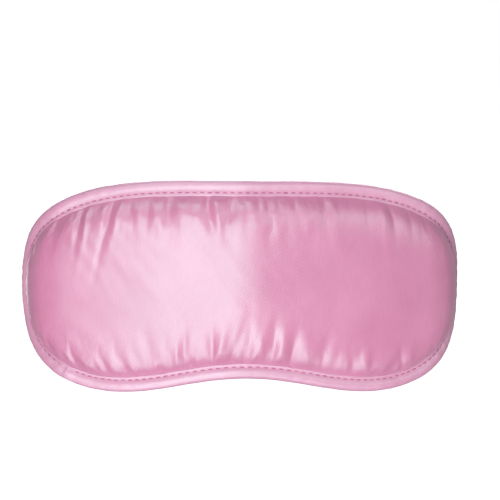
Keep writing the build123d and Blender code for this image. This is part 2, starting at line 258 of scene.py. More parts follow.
def elastic_cloth(name, low, high):
    """Woven elastic: tight cross threads between the ribs, a little fuzzy."""
    material, shader, add, links = node_tools(name)
    uv = cloth_uv(add)
    cross = add("ShaderNodeTexWave", Scale=0.62, Distortion=0.8, Detail=1.0)
    links.new(uv.outputs[0], cross.inputs["Vector"])
    fuzz = add("ShaderNodeTexNoise", Scale=2.2, Detail=4.0)
    links.new(uv.outputs[0], fuzz.inputs["Vector"])
    ramp = colour_ramp(add, low, high, 0.25, 0.8)
    links.new(cross.outputs["Fac"], ramp.inputs[0])
    links.new(ramp.outputs[0], shader.inputs["Base Color"])
    height = summed(add, links, cross.outputs["Fac"], fuzz.outputs[0])
    raise_surface(add, links, shader, height, 0.07)
    shader.inputs["Roughness"].default_value = 0.62
    shader.inputs["Sheen Weight"].default_value = 0.3
    return material


def plain_cloth(name, low, high, scale, relief, roughness=0.9):
    """A matt fibrous cloth, for wadding, blackout cloth and thread."""
    material, shader, add, links = node_tools(name)
    place = add("ShaderNodeTexCoord")
    fibres = add("ShaderNodeTexNoise", Scale=scale, Detail=5.0, Distortion=0.6)
    links.new(place.outputs["Object"], fibres.inputs["Vector"])
    ramp = colour_ramp(add, low, high)
    links.new(fibres.outputs[0], ramp.inputs[0])
    links.new(ramp.outputs[0], shader.inputs["Base Color"])
    raise_surface(add, links, shader, fibres.outputs[0], relief)
    shader.inputs["Roughness"].default_value = roughness
    return material


def coated_metal(name, low, high):
    """Nylon-coated hardware: glossy, with a slightly uneven skin and faint rubbing."""
    material, shader, add, links = node_tools(name)
    place = add("ShaderNodeTexCoord")
    skin = add("ShaderNodeTexNoise", Scale=420.0, Detail=3.0)
    links.new(place.outputs["Object"], skin.inputs["Vector"])
    rub = add("ShaderNodeTexNoise", Scale=1500.0, Detail=6.0, Roughness=0.7)
    links.new(place.outputs["Object"], rub.inputs["Vector"])
    ramp = colour_ramp(add, low, high)
    links.new(skin.outputs[0], ramp.inputs[0])
    links.new(ramp.outputs[0], shader.inputs["Base Color"])
    rough = add("ShaderNodeMapRange", To_Min=0.18, To_Max=0.34)
    links.new(rub.outputs[0], rough.inputs["Value"])
    links.new(rough.outputs[0], shader.inputs["Roughness"])
    raise_surface(add, links, shader, skin.outputs[0], 0.02)
    shader.inputs["Coat Weight"].default_value = 0.3
    shader.inputs["Coat Roughness"].default_value = 0.12
    return material


PINK_LOW, PINK_HIGH = (0.62, 0.19, 0.36), (0.69, 0.24, 0.42)
FRONT_SATIN = satin("front satin", PINK_LOW, PINK_HIGH, 0.34)
LINING_SATIN = satin("lining satin", (0.6, 0.19, 0.36), (0.68, 0.24, 0.42), 0.42)
BINDING_SATIN = satin("binding satin", (0.68, 0.28, 0.45), (0.76, 0.35, 0.53), 0.38, pitch=0.8, angle=-0.8)
ELASTIC = elastic_cloth("pink elastic", (0.5, 0.15, 0.3), (0.7, 0.27, 0.45))
THREAD = plain_cloth("pink thread", (0.46, 0.11, 0.24), (0.58, 0.17, 0.33), 2500.0, 0.03, 0.5)
WADDING = plain_cloth("white wadding", (0.82, 0.81, 0.78), (0.93, 0.92, 0.9), 300.0, 0.4)
BLACKOUT = plain_cloth("blackout cloth", (0.008, 0.008, 0.01), (0.02, 0.02, 0.024), 900.0, 0.05)
COATED = coated_metal("coated pink metal", (0.66, 0.22, 0.42), (0.73, 0.29, 0.5))


def finish_piece(obj, material, body="mask", replaces=()):
    """Give a piece its material and slot, the body that it rides and the CAD nodes that it stands for."""
    obj.data.materials.append(material)
    if body:
        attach(obj, body)
    if replaces:
        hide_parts(*replaces)
    return obj


# ---------------------------------------------------------------- the padded panels

STATIONS, ROWS = 190, 78
PANEL_INSET = 6.2  # the panel comes out from under the binding here
TIP_SHARE = 0.997  # the grid stops this share of the way to the outline's tips
EVEN_ROWS, CROWDED_ROWS = 0.65, 0.35  # shares of even spacing and of crowding to the two edges
SIM_SCALE = 0.01  # simulation units in a millimetre
SIM_FRAMES = 24
START_RISE, START_SPREAD, START_NOISE = 1.2, 6.0, 0.05  # the shape that the simulation starts from
SPARE_REACH = 7.0  # how far in from the seam the spare cloth fades
STIFFNESS, SHEAR_STIFFNESS, BENDING_STIFFNESS = 30, 15, 0.05
PRESSURE = 4.0
SPARE_CLOTH = (-0.03, -0.17)  # shrinkage in the middle and at the seam; below zero the cloth grows


def panel_grid(stations, rows):
    """The flat grid (u, z) of a panel, from its left end to its right and from bottom to top."""
    u = (HALF_LENGTH - PANEL_INSET) * TIP_SHARE * np.sin(np.linspace(-math.pi / 2, math.pi / 2, stations))
    low, high = rim(u, PANEL_INSET)
    even = np.linspace(0, 1, rows)
    share = EVEN_ROWS * even + CROWDED_ROWS * (0.5 - 0.5 * np.cos(math.pi * even))
    z = low[:, None] + (high - low)[:, None] * share
    return np.stack([np.repeat(u[:, None], rows, 1), z], 2)


def panel_depth(flat):
    """How far each point of a panel's grid is in from the grid's own border."""
    return np.maximum(edge_depth(flat.reshape(-1, 2)).reshape(flat.shape[:2]) - PANEL_INSET, 0)


def doubled(values):
    """The grid of values with one more between each two neighbours."""
    rows = np.repeat(values, 2, 0)[:-1]
    rows[1::2] = (values[:-1] + values[1:]) / 2
    grid = np.repeat(rows, 2, 1)[:, :-1]
    grid[:, 1::2] = (rows[:, :-1] + rows[:, 1:]) / 2
    return grid


def smoothed(values, rounds):
    """The grid of values averaged with its neighbours, with its border kept."""
    values = values.copy()
    for _ in range(rounds):
        middle = values[1:-1, 1:-1]
        around = values[2:, 1:-1] + values[:-2, 1:-1] + values[1:-1, 2:] + values[1:-1, :-2]
        values[1:-1, 1:-1] = 0.5 * middle + 0.125 * around
    return values


def panel_groups(piece, depth):
    """Vertex groups: the border, which the seam holds, and the spare cloth beside it."""
    border = np.ones(depth.shape, bool)
    border[1:-1, 1:-1] = False
    pin = piece.vertex_groups.new(name="pin")
    pin.add(np.flatnonzero(border.ravel()).tolist(), 1.0, "REPLACE")
    loose = piece.vertex_groups.new(name="loose")
    for index, share in enumerate(np.exp(-depth.ravel() / SPARE_REACH)):
        loose.add([index], float(share), "REPLACE")


def panel_cloth(piece):
    """The cloth that the panel is simulated as."""
    cloth = piece.modifiers.new("cloth", "CLOTH")
    settings = cloth.settings
    settings.quality = 7
    settings.mass = 0.2
    settings.air_damping = 2.0
    settings.tension_stiffness = settings.compression_stiffness = STIFFNESS
    settings.shear_stiffness = SHEAR_STIFFNESS
    settings.bending_stiffness = BENDING_STIFFNESS
    settings.vertex_group_mass = "pin"
    settings.vertex_group_shrink = "loose"
    settings.shrink_min, settings.shrink_max = SPARE_CLOTH
    settings.use_pressure = True
    settings.uniform_pressure_force = PRESSURE
    settings.effector_weights.gravity = 0
    cloth.point_cache.frame_start, cloth.point_cache.frame_end = 1, SIM_FRAMES


def simulated_panel(flat, depth):
    """Blow up the flat panel, held by its seam, with spare cloth beside it. Gives points (u, z, n)."""
    rng = np.random.default_rng(3)
    noise = rng.normal(0, START_NOISE, depth.shape) * (depth > 0.3)
    start = START_RISE * (1 - np.exp(-depth / START_SPREAD)) + noise
    points = np.concatenate([flat, start[..., None]], 2).reshape(-1, 3) * SIM_SCALE
    piece = new_object("panel_simulation", points, grid_faces(STATIONS, ROWS))
    panel_groups(piece, depth)
    panel_cloth(piece)
    for number in range(1, SIM_FRAMES + 1):
        bpy.context.scene.frame_set(number)
    shape = piece.evaluated_get(bpy.context.evaluated_depsgraph_get()).to_mesh()
    result = np.empty(len(shape.vertices) * 3)
    shape.vertices.foreach_get("co", result)
    bpy.context.scene.frame_set(1)
    bpy.data.objects.remove(piece)
    return result.reshape(STATIONS, ROWS, 3) / SIM_SCALE


# Creases at the seam, as (u, side, reach, width, height, lean): side 1 is the top edge, -1 the bottom,
# reach is how far it runs in, and lean is how far along it drifts for each millimetre in.
CREASES = (
    (-56.0, 1, 21.0, 1.5, -0.75, -0.22),
    (-52.5, 1, 15.0, 1.4, 0.6, -0.2),
    (-66.5, 1, 16.0, 1.6, 0.8, -0.15),
    (-70.0, 1, 11.0, 1.2, -0.6, -0.1),
    (-14.0, 1, 12.0, 1.5, 0.65, 0.2),
    (-17.0, 1, 9.0, 1.1, -0.5, 0.15),
    (3.5, 1, 10.0, 1.2, -0.55, 0.1),
    (13.0, 1, 8.0, 1.2, 0.5, 0.1),
    (24.0, 1, 8.0, 1.2, -0.45, 0.12),
    (35.0, 1, 10.0, 1.3, 0.55, 0.1),
    (56.5, 1, 18.0, 2.2, 0.8, 0.12),
    (61.0, 1, 12.0, 1.4, -0.6, 0.1),
    (-36.0, -1, 9.0, 1.2, -0.5, -0.1),
    (-30.0, -1, 9.0, 1.3, 0.5, 0.1),
    (-23.0, -1, 10.0, 1.3, -0.6, 0.15),
    (-13.0, -1, 15.0, 1.9, 0.8, 0.25),
    (-7.0, -1, 14.0, 1.5, -0.8, 0.3),
    (2.0, -1, 13.0, 1.6, 0.75, 0.3),
    (12.0, -1, 16.0, 2.4, 1.0, 0.2),
    (18.0, -1, 11.0, 1.3, -0.7, 0.1),
    (24.5, -1, 12.0, 1.6, 0.6, 0.0),
    (46.0, -1, 11.0, 1.5, -0.5, -0.2),
    (52.0, -1, 13.0, 2.2, 0.8, -0.15),
    (69.0, -1, 8.0, 1.3, -0.9, -0.3),
    (73.0, -1, 9.0, 1.6, 0.6, -0.3),
)


def creases(flat, depth):
    """Height of the listed creases over the grid."""
    u, z = flat[..., 0], flat[..., 1]
    total = np.zeros_like(u)
    for place, side, reach, width, height, lean in CREASES:
        across = (u - place - lean * depth) / width
        fade = np.exp(-((depth / reach) ** 2.2)) * (1 - np.exp(-depth / 0.8))
        total += np.where(side * z > 0, height * np.exp(-(across**2)) * fade, 0)
    return total


END_FROM, END_OVER, END_FLATTENING = 84.0, 18.0, 0.58  # where along u the pad gets flatter, and how much


def puffed_height(flat, depth, puff, spread):
    """The pad's height over its seam at each distance in from it, flatter at the mask's two ends."""
    end = np.clip((np.abs(flat[..., 0]) - END_FROM) / END_OVER, 0, 1)
    puff = puff * (1 - END_FLATTENING * end * end * (3 - 2 * end))
    return puff * (1 - np.exp(-(depth / spread)))


SEAM_REACH = 14.0  # how far in from the seam the simulated wrinkles count in full
SEAM_GAIN, MIDDLE_GAIN = 1.8, 0.15
CALM_FROM, CALM_OVER, CALM_SHARE = 30.0, 6.0, 0.6  # where along u the wrinkles get weaker, and how much


def panel_shape():
    """The front panel's sideways drift and its wrinkles over a plain dome, on the doubled grid."""
    flat = panel_grid(STATIONS, ROWS)
    depth = panel_depth(flat)
    result = simulated_panel(flat, depth)
    height = result[..., 2]
    smooth = smoothed(height, 160)
    near = np.exp(-((depth / SEAM_REACH) ** 2))
    wrinkles = SEAM_GAIN * near * (smoothed(height, 1) - smooth)
    wrinkles += (1 - near) * MIDDLE_GAIN * (smoothed(height, 24) - smooth)
    wrinkles *= 1 - CALM_SHARE / (1 + np.exp((CALM_FROM - flat[..., 0]) / CALM_OVER))
    drift = np.stack([smoothed(result[..., axis] - flat[..., axis], 3) for axis in (0, 1)], 2)
    return smoothed(doubled(drift), 1), smoothed(doubled(wrinkles), 1)


def soft_ripples(u, z):
    """Long shallow waves that slant down to the right across the left cheek, and fade beyond the middle."""
    slant = 0.78 * u + 0.62 * z
    across = 0.78 * z - 0.62 * u
    fade = 0.3 + 0.7 / (1 + np.exp((u + 2) / 9))
    total = np.zeros_like(u)
    rng = np.random.default_rng(41)
    for length in (17.0, 11.0, 7.3, 5.2):
        drift = 2.2 * np.sin(across / rng.uniform(9, 16) + rng.uniform(0, 6))
        drift += 1.1 * np.sin(u / 7 + rng.uniform(0, 6)) + 1.3 * np.sin(slant / rng.uniform(11, 17))
        swell = 0.5 + 0.5 * np.sin(across / rng.uniform(8, 14) + slant / 12 + rng.uniform(0, 6))
        total += 0.0048 * length * swell * np.sin(2 * math.pi * slant / length + drift)
    return total * fade


def panel_object(name, flat, height, side):
    """A panel of cloth at the given heights, on the front (side 1) or the back (side -1)."""
    points = np.concatenate([flat, side * height[..., None]], 2)
    obj = new_object(name, bend(points), grid_faces(*flat.shape[:2], flip=side < 0))
    set_uv(obj, flat.reshape(-1, 2))
    return obj


FRONT_SEAM, FRONT_PUFF, FRONT_SPREAD = 1.15, 7.2, 5.0
BACK_SEAM, BACK_PUFF, BACK_SPREAD = 1.0, 3.6, 7.0
LINING_GAIN = 0.45  # the lining's wrinkles, as a share of the front panel's
CLOTH_THICKNESS = 0.3
PAD_CLEARANCE = 1.1  # between a wadding and its panel
PAD_SHARE = (0.985, 0.975)  # the waddings' size as shares of the panels', along and up
PAD_BASE, PAD_LEAST = 0.25, 0.35  # a wadding's flat face and its lowest outer height


def padded_panels():
    """The front panel, the lining and the two waddings between them."""
    flat = panel_grid(2 * STATIONS - 1, 2 * ROWS - 1)
    depth = panel_depth(flat)
    drift, wrinkles = panel_shape()
    front = front_height(flat, depth, wrinkles)
    back = BACK_SEAM + puffed_height(flat, depth, BACK_PUFF, BACK_SPREAD) + LINING_GAIN * wrinkles[::-1]
    back = np.maximum(back, BACK_SEAM - 0.3)

    panel = panel_object("front_satin_panel", flat + drift, front, 1)
    finish_piece(panel, FRONT_SATIN, replaces=["front_panel"])
    lining = panel_object("lining_panel", flat, back, -1)
    finish_piece(lining, LINING_SATIN, replaces=["lining"])
    thicken(panel, "cloth thickness")
    thicken(lining, "cloth thickness")
    for name, side, height, node in (
        ("front_wadding_pad", 1, front, "front_wadding"),
        ("back_wadding_pad", -1, back, "back_wadding"),
    ):
        below = smoothed(height, 60)[::2, ::2] - PAD_CLEARANCE
        pad = wadding_pad(name, flat[::2, ::2], below, side)
        finish_piece(pad, WADDING, replaces=[node])


def front_height(flat, depth, wrinkles):
    """The front panel's height over the mid-surface: puff, wrinkles, nose ridge, creases and ripples."""
    u, z = flat[..., 0], flat[..., 1]
    centre_ridge = 0.5 * np.exp(-((u / 14.0) ** 2)) * (1 - np.exp(-depth / 12))
    fullness = 1 - np.exp(-depth / 6)
    front = FRONT_SEAM + puffed_height(flat, depth, FRONT_PUFF, FRONT_SPREAD) + wrinkles + centre_ridge
    return np.maximum(front + creases(flat, depth) + soft_ripples(u, z) * fullness, FRONT_SEAM - 0.5)


def thicken(obj, name):
    """Give a surface the thickness of cloth."""
    thick = obj.modifiers.new(name, "SOLIDIFY")
    thick.thickness, thick.offset = CLOTH_THICKNESS * MM, -1


def wadding_pad(name, flat, height, side):
    """A closed pad between the blackout cloth and a little under a panel, pulled in from the seam."""
    flat = flat * PAD_SHARE
    outer = np.concatenate([flat, side * np.maximum(height, PAD_LEAST)[..., None]], 2)
    inner = np.concatenate([flat, np.full((*flat.shape[:2], 1), side * PAD_BASE)], 2)
    points = bend(np.vstack([outer.reshape(-1, 3), inner.reshape(-1, 3)]))
    count = STATIONS * ROWS
    index = np.arange(count).reshape(STATIONS, ROWS)
    ring = np.concatenate([index[:, 0], index[-1, 1:], index[-2::-1, -1], index[0, -2:0:-1]])
    closed = np.append(ring, ring[0])
    walls = np.column_stack([closed[:-1], closed[1:], closed[1:] + count, closed[:-1] + count])
    quads = grid_faces(STATIONS, ROWS)
    faces = np.vstack([quads, quads[:, ::-1] + count, walls[:, ::-1]])
    if side < 0:
        faces = faces[:, ::-1]
    return new_object(name, points, faces)


# ---------------------------------------------------------------- the binding and its stitches

# The rolled tape's section, as (depth in from the edge, distance from the mid-surface): from the folded
# edge over the seam's groove and round the roll.
ROLL = ((7.0, 1.0), (6.85, 1.6), (6.4, 1.95), (5.9, 1.8), (5.45, 1.42), (5.2, 1.36), (4.9, 1.5), (4.2, 2.0),
        (3.2, 2.35), (2.1, 2.3), (1.1, 1.9), (0.4, 1.15), (0.0, 0.25))
BACK_SHARE = 0.86
GROOVE_DEPTH = 1.36
JOIN_PLACE = 0.655  # where the tape's ends overlap, as a share of the way round
JOIN_LENGTH = 9.0
LAP_HEIGHT, LAP_EDGE = 0.38, 14.0  # the overlap's extra height, and how sharp its two edges are
PULL_DEPTH, PULL_REACH = 0.16, 0.5  # how far a stitch draws the tape in, and how far across the tape
ROLL_CRINKLE, EDGE_CRINKLE = 0.16, 0.09


def tape_lap(s):
    """The extra height where the tape's ends overlap, at shares s of the way round."""
    past = ((s - JOIN_PLACE + 0.5) % 1 - 0.5) * EDGE_LENGTH / JOIN_LENGTH
    return LAP_HEIGHT / (1 + np.exp(-LAP_EDGE * (past + 0.5))) / (1 + np.exp(LAP_EDGE * (past - 0.5)))


def tape_row(s, depth, n):
    """The depth and the signed height of one line of the tape's section, all the way round."""
    on_roll = abs(n) > 1.45 and depth < 5
    off_fold = abs(n) > 0.9
    size = 1.0
    if on_roll:
        size = 1 + 0.07 * ripple(s, 5, (7, 13, 19, 31)) + 0.05 * ripple(s, 6, (61, 83, 97))
    crinkle = ripple(s + 0.004 * depth, 11, (71, 103, 131, 167))
    crinkle *= ROLL_CRINKLE if on_roll else EDGE_CRINKLE
    pull = 0.5 + 0.5 * np.cos(2 * math.pi * s * round(EDGE_LENGTH / STITCH_PITCH))
    groove = -PULL_DEPTH * pull * math.exp(-((depth - SEAM_DEPTH) / PULL_REACH) ** 2)
    height = abs(n) * size + crinkle * off_fold + groove + tape_lap(s) * off_fold
    deep = np.full(len(s), depth)
    if depth > 5.6:
        deep = deep + 0.22 * ripple(s, 21, (11, 23, 37, 59))
    if depth < 1:
        deep = deep + 0.1 * ripple(s, 31, (17, 41, 67))
    return deep, math.copysign(1, n) * height


def binding_roll():
    """The satin tape rolled over the edge, drawn in at each stitch, with its ends lapped at one place."""
    count = int(EDGE_LENGTH / 0.5)
    points, inward = edge_frames(count)
    s = np.arange(count) / count
    section = [*ROLL, *((depth, -n * BACK_SHARE) for depth, n in ROLL[::-1])]
    rows = []
    for depth, n in section:
        deep, height = tape_row(s, depth, n)
        rows.append(np.column_stack([points + inward * deep[:, None], height]))
    faces = grid_faces(count, len(rows), ring_rows=True)
    obj = new_object("binding_roll", bend(np.stack(rows, 1)), faces)
    girth = np.cumsum([0] + [math.dist(a, b) for a, b in zip(section, section[1:])])
    from_join = (s - JOIN_PLACE) % 1 * EDGE_LENGTH
    set_uv(obj, np.column_stack([np.repeat(from_join, len(rows)), np.tile(girth, count)]))
    thicken(obj, "tape thickness")
    finish_piece(obj, BINDING_SATIN, replaces=["edge_binding"])


BAR_STEPS, BAR_SIDES = 7, 8  # points along and round a stitch
SEAM_STITCH = (2.35, 0.5, 0.34)  # length, width and height in millimetres
TACK_STITCH = (2.35, 0.45, 0.34)
STRAP_CLEARANCE = 1.5  # between the straps sewn on the back and the nearest stitches of the seam


def stitch_bars(name, places, directions, normals, size):
    """Stitches: small plump bars whose ends dip into the cloth."""
    length, width, height = (value * MM for value in size)
    steps = np.linspace(-1, 1, BAR_STEPS)
    around = np.linspace(0, 2 * math.pi, BAR_SIDES + 1)[:-1]
    last = (BAR_STEPS - 1) * BAR_SIDES
    points, faces = [], []
    for place, direction, normal in zip(places, directions, normals):
        direction = direction / np.linalg.norm(direction)
        normal = normal - direction * normal.dot(direction)
        normal /= np.linalg.norm(normal)
        side = np.cross(normal, direction)
        base = len(points)
        for t in steps:
            fat = math.sqrt(max(0.06, 1 - t**4))
            centre = place + direction * (t * length / 2) - normal * (0.7 * height * t**4)
            for a in around:
                out = side * math.cos(a) * width / 2 + normal * math.sin(a) * height / 2
                points.append(centre + fat * out)
        faces += [tuple(face + base) for face in grid_faces(BAR_STEPS, BAR_SIDES, ring_columns=True)]
        faces.append(tuple(base + k for k in range(BAR_SIDES))[::-1])
        faces.append(tuple(base + last + k for k in range(BAR_SIDES)))
    return new_object(name, points, faces)


def seam_stitches(name, side, rise, node, skip_strap):
    """The seam's stitches on the front (side 1) or the back (side -1), at rise from the mid-surface."""
    count = round(EDGE_LENGTH / STITCH_PITCH)
    points, inward = edge_frames(count)
    rng = np.random.default_rng(17)
    keep = np.ones(count, bool)
    if skip_strap:
        level = np.abs(points[:, 1]) < STRAP_WIDTH / 2 + STRAP_CLEARANCE
        keep = ~(level & (np.abs(points[:, 0]) > HALF_LENGTH / 2))
    seam = points + inward * (SEAM_DEPTH + rng.normal(0, 0.07, count))[:, None]
    along = np.roll(points, -1, 0) - np.roll(points, 1, 0)
    along = along / np.linalg.norm(along, axis=1, keepdims=True) + rng.normal(0, 0.03, (count, 2))
    n = np.full(count, side * rise)
    here = bend(np.column_stack([seam, n]))
    ahead = bend(np.column_stack([seam + along, n]))
    above = bend(np.column_stack([seam, n + side]))
    obj = stitch_bars(name, here[keep], (ahead - here)[keep], (above - here)[keep], SEAM_STITCH)
    finish_piece(obj, THREAD, replaces=[node])


# ---------------------------------------------------------------- the strap

STRAP, STRAP_WIDTH, STRAP_LAP = 1.0, 20.0, 7.6
TAPE_BACK, TAPE, LAP_GAP = 1.0, 0.6, 0.2  # the binding's back leg, and the gap to the strap sewn on it
LAP_OFFSET = TAPE_BACK + TAPE + LAP_GAP + STRAP / 2
TEMPLE_RADIUS, BACK_RADIUS, RUN_HEADING = 50.0, 78.0, 107.0  # the strap's plan
SNUG, PLY_GAP, SLIDE_GAP, S_RADIUS, TAIL = 0.05, 0.1, 0.3, 6.0, 9.0
RING_ANGLE, RING_WIRE, RING_SPAN = -40.0, 2.2, 10.0
SLIDER_ANGLE, SLIDER_BAR, SLIDER_PLATE = 25.0, 3.0, 1.6
RIBS, RIB_DEPTH, RIB_MARGIN = 14, 0.13, 0.35  # ribs across the band, their depth, and the plain edges
ROUND_EDGE = 0.12


def follow(start, heading, moves, step=0.8):
    """Plan points and headings (degrees) along moves ("line", length) or ("arc", radius, turn)."""
    x, y = start
    points, headings = [(x, y)], [heading]
    for kind, size, *turns in moves:
        turn = turns[0] if turns else 0.0
        length = size if kind == "line" else size * abs(math.radians(turn))
        pieces = max(2, math.ceil(length / step))
        for _ in range(pieces):
            middle = math.radians(heading + turn / pieces / 2)
            chord = length / pieces
            if turn:
                chord = 2 * size * math.sin(abs(math.radians(turn)) / pieces / 2)
            x, y = x + chord * math.cos(middle), y + chord * math.sin(middle)
            heading += turn / pieces
            points.append((x, y))
            headings.append(heading)
    return np.array(points), np.array(headings)


def lap_start():
    """Where the right strap starts on the back of the binding, with its heading."""
    radius = ARCS[-1][0]
    heading = END_HEADING - math.degrees(STRAP_LAP / radius)
    x, y, _ = bend([(HALF_LENGTH - STRAP_LAP, 0, -LAP_OFFSET)])[0] / MM
    return (x, y), heading, radius - LAP_OFFSET


START, START_HEADING, LAP_RADIUS = lap_start()
TEMPLE_MOVES = [
    ("arc", LAP_RADIUS, END_HEADING - START_HEADING),
    ("arc", TEMPLE_RADIUS, RUN_HEADING - END_HEADING),
]
TEMPLE_X, TEMPLE_Y = follow(START, START_HEADING, TEMPLE_MOVES)[0][-1]
RUN_SIN, RUN_COS = math.sin(math.radians(RUN_HEADING)), math.cos(math.radians(RUN_HEADING))
STRAIGHT_RUN = (BACK_RADIUS * RUN_SIN - TEMPLE_X) / RUN_COS
CENTRE_Y = TEMPLE_Y + STRAIGHT_RUN * RUN_SIN + BACK_RADIUS * RUN_COS
SIDE_MOVES = [*TEMPLE_MOVES, ("line", STRAIGHT_RUN)]

RING_BAR_R = BACK_RADIUS - STRAP / 2 - SNUG - RING_WIRE / 2
RING_LEG_R = RING_BAR_R - RING_WIRE / 2 - SNUG - STRAP / 2
SEWN_R = BACK_RADIUS - STRAP - PLY_GAP
RETURN_R = BACK_RADIUS - STRAP - SLIDE_GAP
CENTRE_BAR_R = RETURN_R - STRAP / 2 - SNUG - SLIDER_PLATE / 2
LOOP_LEG_R = CENTRE_BAR_R - SLIDER_PLATE / 2 - SNUG - STRAP / 2
LOOP_TAIL_R = RETURN_R - STRAP - PLY_GAP
RING_HALF = math.degrees(math.asin(RING_SPAN / 2 / RING_BAR_R))


def on_back(angle, radius):
    """The plan point on the strap's back arc, at an angle in degrees from its middle."""
    a = math.radians(angle)
    return radius * math.sin(a), CENTRE_Y + radius * math.cos(a)


def s_bend(near, far):
    """The two turns that take a band from radius near out to radius far, and the angle it covers."""
    first, second, between = near + S_RADIUS, far - S_RADIUS, 2 * S_RADIUS
    covered = math.degrees(math.acos((first**2 + second**2 - between**2) / (2 * first * second)))
    opening = math.degrees(math.acos((first**2 + between**2 - second**2) / (2 * first * between)))
    return opening, opening + covered, covered


def ring_loop(leg_end):
    """The band's moves round the ring's bar and out to radius leg_end, and the angle that they cover."""
    out, back, covered = s_bend(RING_LEG_R, leg_end)
    turn_radius = (BACK_RADIUS - RING_LEG_R) / 2
    return [("arc", turn_radius, 180), ("arc", S_RADIUS, out), ("arc", S_RADIUS, -back)], covered


RETURN_START = RING_ANGLE + RING_HALF + ring_loop(RETURN_R)[1]
LOOP_OUT, LOOP_BACK, LOOP_COVERED = s_bend(LOOP_LEG_R, LOOP_TAIL_R)
LOOP_TAIL = math.degrees(TAIL / LOOP_TAIL_R)


def ribbed_section():
    """The elastic's section, as (across its thickness, height): ribbed faces and rounded edges."""
    half = STRAP_WIDTH / 2
    ribbed = half - RIB_MARGIN
    heights = np.linspace(-ribbed, ribbed, RIBS * 4 + 1)
    rib = 0.5 - 0.5 * np.cos(math.pi * RIBS * (heights + ribbed) / ribbed)
    face = STRAP / 2 - RIB_DEPTH + RIB_DEPTH * rib
    edge = [(0.3, half - ROUND_EDGE), (0.0, half), (-0.3, half - ROUND_EDGE)]
    front = list(zip(face, heights))
    back = [(-t, h) for t, h in front[::-1]]
    return np.array(front + edge + back + [(-t, -h) for t, h in edge])


def strap_band(name, start, heading, moves, mirrored=False):
    """A ribbed band of elastic swept along moves, even about z = 0."""
    path, headings = follow(start, heading, moves)
    section = ribbed_section()
    a = np.radians(headings)
    normal = np.column_stack([-np.sin(a), np.cos(a)])
    plan = path[:, None, :] + normal[:, None, :] * section[None, :, :1]
    points = np.concatenate([plan, np.broadcast_to(section[None, :, 1:], (len(path), len(section), 1))], 2)
    if mirrored:
        points = points * [-1, 1, 1]
    count = len(section)
    faces = [tuple(face) for face in grid_faces(len(path), count, ring_columns=True, flip=mirrored)]
    first, last = tuple(range(count)), tuple(range((len(path) - 1) * count, len(path) * count))
    faces += [first, last[::-1]] if mirrored else [first[::-1], last]
    obj = new_object(name, points.reshape(-1, 3) * MM, faces)
    length = np.concatenate([[0], np.cumsum(np.linalg.norm(np.diff(path, axis=0), axis=1))])
    set_uv(obj, np.column_stack([np.repeat(length, count), np.tile(section[:, 1], len(path))]))
    split = obj.modifiers.new("crisp ends", "EDGE_SPLIT")
    split.split_angle = math.radians(60)
    return obj


def outer_straps():
    """The short strap, sewn round the ring, and the long strap up to where it has passed the ring."""
    edge = 180 - RUN_HEADING
    tail = ("arc", SEWN_R, -math.degrees(TAIL / SEWN_R))
    to_ring = ("arc", BACK_RADIUS, edge - RING_HALF + RING_ANGLE)
    moves = [*SIDE_MOVES, to_ring, *ring_loop(SEWN_R)[0], tail]
    short = strap_band("short_elastic", START, START_HEADING, moves, mirrored=True)
    finish_piece(short, ELASTIC, replaces=["short_strap"])
    to_ring = ("arc", BACK_RADIUS, edge - RING_ANGLE - RING_HALF)
    moves = [*SIDE_MOVES, to_ring, *ring_loop(RETURN_R)[0]]
    long = strap_band("long_elastic", START, START_HEADING, moves)
    finish_piece(long, ELASTIC, replaces=["long_strap"])


def return_strap():
    """The long strap's inner ply and its end, looped round the slider's bar."""
    flat = (SLIDER_BAR - SLIDER_PLATE) / 2
    moves = [
        ("arc", RETURN_R, RETURN_START - SLIDER_ANGLE),
        ("line", flat),
        ("arc", (RETURN_R - LOOP_LEG_R) / 2, -180),
        ("line", flat),
        ("arc", S_RADIUS, -LOOP_OUT),
        ("arc", S_RADIUS, LOOP_BACK),
        ("arc", LOOP_TAIL_R, LOOP_TAIL),
    ]
    inner = strap_band("return_elastic", on_back(RETURN_START, RETURN_R), -RETURN_START, moves)
    finish_piece(inner, ELASTIC, body=None, replaces=["strap_return", "strap_end_loop"])
    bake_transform(inner)


TACK_ROW, TACK_COUNT, TACK_RISE = 1.6, 6, 0.1  # half the rows' spacing, stitches in a row, lift


def tack_rows(name, centre, along, normal, node, body="mask"):
    """Two upright rows of stitches across the strap, about a plan point on its face."""
    rows = np.array([(row, k) for row in (-TACK_ROW, TACK_ROW) for k in range(TACK_COUNT)])
    plan = np.array(centre) + rows[:, :1] * along + TACK_RISE * np.array(normal)
    z = STITCH_PITCH * (rows[:, 1] - (TACK_COUNT - 1) / 2)
    places = np.column_stack([plan, z]) * MM
    up = np.tile([0.0, 0.0, 1.0], (len(places), 1))
    out = np.tile([normal[0], normal[1], 0.0], (len(places), 1))
    obj = stitch_bars(name, places, up, out, TACK_STITCH)
    finish_piece(obj, THREAD, body=body, replaces=[node])


def back_tack(name, angle, radius, node, body="mask"):
    """A tack on the strap's inner face, at an angle on the back arc."""
    a = math.radians(angle)
    along, normal = (math.cos(a), -math.sin(a)), (-math.sin(a), -math.cos(a))
    tack_rows(name, on_back(angle, radius - STRAP / 2), along, normal, node, body)


